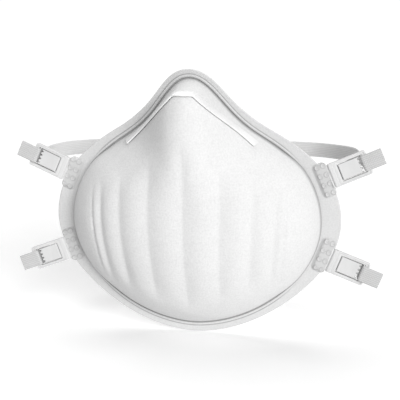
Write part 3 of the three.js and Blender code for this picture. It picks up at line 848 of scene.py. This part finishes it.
def rod(seat, radius, half, u, dome=0.3):
    """A round bar across the buckle, with domed ends."""
    turns = np.linspace(0, 2 * math.pi, ROD_SIDES, endpoint=False)
    ends = [(-half, 0.02), (-half, radius - dome), (-half + 0.1, radius - 0.1),
            (-half + dome, radius)]
    stations = ends + [(mix(-half + dome, half - dome, k / 6), radius) for k in range(1, 6)]
    stations += [(-v, size) for v, size in ends[::-1]]
    sections = []
    for v, size in stations:
        sections.append(seat.place(np.stack([u + size * np.cos(turns), np.full(ROD_SIDES, v),
                                             size * np.sin(turns)], -1)))
    return *sweep(sections), np.zeros(ROD_SIDES * len(stations))


def tongue_body(seat):
    """The locking tongue: soft edges, a shallow thumb dish and a toothed outer edge."""
    half = WINDOW_HALF - GAP
    columns = np.concatenate([np.linspace(TONGUE_PIVOT, TONGUE_TIP - NOTCH - 0.05, 22),
                              np.linspace(TONGUE_TIP - NOTCH + 0.05, TONGUE_TIP, 6)])
    v = np.linspace(-half, half, 57)
    notch = np.min([np.abs(v - c) for c in NOTCHES], axis=0)
    reach = TONGUE_TIP - NOTCH * smooth(NOTCH / 2 + 0.12, NOTCH / 2 - 0.14, notch)
    u = np.minimum(columns[None], reach[:, None])
    side = smooth(0, 0.3, half - np.abs(v))[:, None]
    tip = smooth(0, 0.35, reach[:, None] + 0.02 - u)
    dish = 0.16 * np.exp(-((u - 9.6) / 3) ** 2 - (v[:, None] / 2.6) ** 2)
    high = TONGUE / 2 - 0.22 * (1 - side) - 0.25 * (1 - tip) - dish
    low = -TONGUE / 2 + 0.2 * (1 - side) + 0.2 * (1 - tip)
    grid = np.repeat(v[:, None], len(columns), axis=1)
    top = seat.place(np.stack([u, grid, high], -1))
    under = seat.place(np.stack([u, grid, low], -1))
    # Painted shade on the tongue's side and tip edges where they go down into the gap, and on all of
    # its underside.
    shade = PAINTED_GAP_SHADE * np.maximum(1 - side * np.ones_like(tip), 1 - tip)
    shade = np.concatenate([shade, np.full_like(shade, PAINTED_GAP_SHADE)], axis=1)
    return *sweep(np.concatenate([top, under[:, ::-1]], axis=1)), shade.ravel()


def combined(*forms):
    """Several closed forms as one list of points, faces and shades."""
    points, faces, shades = [], [], []
    for p, f, shade in forms:
        shift = sum(len(x) for x in points)
        faces += [tuple(i + shift for i in face) for face in facing_out(p, f)]
        points.append(np.asarray(p))
        shades.append(shade)
    return np.concatenate(points), faces, np.concatenate(shades)


# ---------------------------------------------------------------- elastic


def band(path, across, start=0.0, frayed=False):
    """Flat elastic along a path: lengthwise cords, slightly scalloped edges."""
    path = np.asarray(path, float)
    steps = np.linalg.norm(np.diff(path, axis=0), axis=1)
    along = start + np.concatenate([[0], np.cumsum(steps)])
    tangent = unit(np.gradient(path, axis=0))
    across = unit(np.asarray(across, float) * np.ones_like(path))
    thick = unit(np.cross(tangent, across))
    across = unit(np.cross(thick, tangent))
    s = np.linspace(-1, 1, 49)
    cord = 0.05 * np.cos(s * math.pi * CORDS)
    edge = np.sqrt(np.clip(1 - np.abs(s) ** 14, 0, 1))
    half = (STRAP / 2 - 0.06) * np.maximum(edge, 0.25) + cord * edge
    sections, uv = [], []
    rng = np.random.default_rng(3)
    for i, (p, a, t) in enumerate(zip(path, across, thick)):
        width = STRAP_WIDTH / 2 - 0.05 + 0.05 * math.sin(along[i] * 2 * math.pi / SCALLOP)
        shift = np.zeros(len(s))
        if frayed and i >= len(path) - 2:
            shift = rng.uniform(-0.12, 0.06, len(s)) * (1 if i == len(path) - 1 else 0.4)
        ends = p + shift[:, None] * tangent[i]
        upper = ends + (s * width)[:, None] * a + half[:, None] * t
        lower = ends + (s * width)[:, None] * a - half[:, None] * t
        sections.append(np.concatenate([upper, lower[::-1]]))
        flat = np.stack([s * width, np.full(len(s), along[i])], -1)
        uv.append(np.concatenate([flat, flat[::-1]]))
    points, faces = sweep(sections)
    return points, faces, np.concatenate(uv), along[-1]


def resample(path, spacing):
    steps = np.linalg.norm(np.diff(path, axis=0), axis=1)
    along = np.concatenate([[0], np.cumsum(steps)])
    at = np.linspace(0, along[-1], max(3, int(along[-1] / spacing) + 1))
    return np.stack([np.interp(at, along, path[:, k]) for k in range(3)], -1), at / along[-1]


def end_path():
    """From behind the slot, through it, over the outer bar and out along the tail."""
    over = FRAME / 2 + GAP + STRAP / 2
    turn = np.linspace(math.pi, math.pi / 2, 9)
    bend = [(SLOT + FOLD + FOLD * math.cos(a), 0, over - FOLD + FOLD * math.sin(a)) for a in turn]
    tail = [(SLOT + FOLD + 1, 0, over), (21, 0, over + 0.04), (TAIL_END, 0, over + 0.02)]
    return np.array([(SLOT, 0, -STRAP_LEAVES), (SLOT, 0, 0), *bend, *tail])


def loop_path(level):
    """Centreline of a head strap from the right buckle round to the left one, and its lean."""
    seat = Seat(level, "right")
    start = seat.place((SLOT, 0, -STRAP_LEAVES - GAP))
    loop = [start, start + (0, 4, 0), *np.array(LOOPS[level], float)]
    loop += [np.array(p) * (-1, 1, 1) for p in loop[:-1][::-1]]
    path, share = resample(centripetal(loop, False), 1.0)
    path[0, 0], path[-1, 0] = path[1, 0], path[-2, 0]
    tilt = math.radians(BUCKLES[level][2])
    lean = tilt * smooth(0.16, 0, np.minimum(share, 1 - share)) * np.where(share < 0.5, 1, -1)
    across = np.stack([-np.sin(lean), np.zeros_like(lean), np.cos(lean)], -1)
    return path, across, share


RUN = 0.3  # share of a head strap made as its own run at each end, next to the buckle

for level in LEVELS:
    path, across, share = loop_path(level)
    strap_node = f"head_strap_{level}"
    parts = {"right": share <= RUN, "back": (share > RUN - 0.004) & (share < 1 - RUN + 0.004),
             "left": share >= 1 - RUN}
    for part, chosen in parts.items():
        points, faces, uv, _ = band(path[chosen], across[chosen])
        run = make(f"strap_{level}_{part}", points, facing_out(points, faces), strap_look,
                   uv)
        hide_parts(strap_node)
        if part == "back":
            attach(run, "mask")
            continue
        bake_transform(run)

    for side in SIDES:
        seat = Seat(level, side)
        name = f"{level}_{side}"
        points, faces, shade = weld_plate(seat, level)
        plate = make(f"weld_plate_{name}", points, facing_out(points, faces), plate_look,
                     sharp=75, seam=shade)
        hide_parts(f"buckle_anchor_{name}")
        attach(plate, "mask")

        points, faces = hinge_web(seat)
        web = make(f"hinge_web_{name}", points, facing_out(points, faces), buckle_look)
        tuple(seat.place((-1.5, 0, 0)) * MM)
        tuple(seat.place((0, 0, 0)) * MM)
        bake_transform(web)

        points, faces, shade = combined(frame_body(seat), rod(seat, FRAME / 2, FRAME_HALF, 0))
        body = make(f"frame_{name}", points, faces, buckle_look, sharp=35, seam=shade)
        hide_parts(f"buckle_frame_{name}")
        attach(body, f"buckle_{name}")

        pivot = rod(seat, TONGUE / 2, WINDOW_HALF - GAP, TONGUE_PIVOT, 0.2)
        points, faces, shade = combined(tongue_body(seat), pivot)
        tongue = make(f"tongue_{name}", points, faces, tongue_look, sharp=35,
                      seam=shade)
        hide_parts(f"buckle_tongue_{name}")
        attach(tongue, f"tongue_{name}")

        points, faces, shade = tongue_web(seat)
        web = make(f"tongue_web_{name}", points, facing_out(points, faces), buckle_look,
                   seam=shade)
        tuple(seat.place((WINDOW[0], 0, TONGUE_WEB_LEVEL)) * MM)
        tuple(seat.place((TONGUE_PIVOT, 0, TONGUE_WEB_LEVEL)) * MM)
        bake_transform(web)

        path_end, _ = resample(seat.place(end_path()), 0.35)
        points, faces, uv, _ = band(path_end, seat.across, frayed=True)
        # Painted shade on the part of the strap end that lies inside the buckle's slot.
        inside = PAINTED_GAP_SHADE * smooth(FRAME / 2 + 0.4, FRAME / 2 - 0.3, (points - seat.home) @ seat.forward)
        end = make(f"strap_tail_{name}", points, facing_out(points, faces), tail_look, uv,
                   seam=inside)
        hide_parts(f"strap_end_{name}")
        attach(end, f"buckle_{name}")

# ---------------------------------------------------------------- studio

VIEW_AZIMUTH, VIEW_ELEVATION, VIEW_ROLL = 9.31, 10.0, 0.35
VIEW_TARGET, VIEW_DISTANCE, LENS = (0.00246, 0, 0.00129), 0.3555, 62.55
AIR_BELOW, AIR_ABOVE, AIR_SEEN, FLOOR_GLOW = 0.95, 0.12, 1.05, 0.2

camera = bpy.data.objects.new("camera", bpy.data.cameras.new("camera"))
bpy.context.scene.collection.objects.link(camera)
az, el = math.radians(VIEW_AZIMUTH), math.radians(VIEW_ELEVATION)
back = Vector((math.sin(az) * math.cos(el), -math.cos(az) * math.cos(el), math.sin(el)))
camera.data.lens = LENS
camera.data.sensor_width = 36
camera.location = Vector(VIEW_TARGET) + back * VIEW_DISTANCE
camera.rotation_mode = "QUATERNION"
roll = Quaternion((0, 0, 1), math.radians(VIEW_ROLL))
camera.rotation_quaternion = (-back).to_track_quat("-Z", "Y") @ roll
camera.data.clip_start, camera.data.clip_end = 0.01, 20
bpy.context.scene.camera = camera

FLOOR_HALF, FLOOR_GAP = 3, 0.0005
low = cad_box[0].z - FLOOR_GAP
floor_mesh = bpy.data.meshes.new("floor")
floor_mesh.from_pydata([(x * FLOOR_HALF, y * FLOOR_HALF, low)
                        for x, y in ((-1, -1), (1, -1), (1, 1), (-1, 1))], [], [(0, 1, 2, 3)])
floor = bpy.data.objects.new("floor", floor_mesh)
bpy.context.scene.collection.objects.link(floor)
paper = Nodes("paper", 0.9, Emission_Strength=FLOOR_GLOW, Emission_Color=(1, 1, 1, 1))
floor_mesh.materials.append(paper.finish(
    paper.ramp(paper.noise(paper.place, 30), (0.3, grey(0.9)), (0.7, grey(0.92))),
    paper.bump(paper.noise(paper.place, 900), 0.0001, 0.2)))
floor.visible_diffuse = False


def sun(name, direction, strength, spread):
    """Even soft light from a direction, as from a wide, distant diffuser."""
    lamp = bpy.data.lights.new(name, "SUN")
    lamp.energy, lamp.angle = strength, math.radians(spread)
    holder = bpy.data.objects.new(name, lamp)
    holder.rotation_mode = "QUATERNION"
    holder.rotation_quaternion = (-Vector(direction)).to_track_quat("-Z", "Y")
    bpy.context.scene.collection.objects.link(holder)


sun("key", (0.55, -0.8, 0.35), 2.45, 34)
sun("back", (-0.2, 0.32, 0.93), 1.45, 55)

# The studio's air lights more from below, as its pale floor does, and looks white.
world = bpy.data.worlds.new("studio")
bpy.context.scene.world = world
world.use_nodes = True
tree = world.node_tree


def ranged(value, *limits):
    """Maps a value between two limits to a result between the other two."""
    node = tree.nodes.new("ShaderNodeMapRange")
    for name, limit in zip(("From Min", "From Max", "To Min", "To Max"), limits):
        if isinstance(limit, bpy.types.NodeSocket):
            tree.links.new(limit, node.inputs[name])
        else:
            node.inputs[name].default_value = limit
    tree.links.new(value, node.inputs["Value"])
    return node.outputs["Result"]


height = tree.nodes.new("ShaderNodeSeparateXYZ")
tree.links.new(tree.nodes.new("ShaderNodeTexCoord").outputs["Generated"], height.inputs[0])
seen = tree.nodes.new("ShaderNodeLightPath").outputs["Is Camera Ray"]
glow = ranged(height.outputs["Z"], -1, 1, AIR_BELOW, AIR_ABOVE)
tree.links.new(ranged(seen, 0, 1, glow, AIR_SEEN), tree.nodes["Background"].inputs["Strength"])
tree.nodes["Background"].inputs["Color"].default_value = (1, 1, 1, 1)
bpy.context.scene.view_settings.view_transform = "Standard"
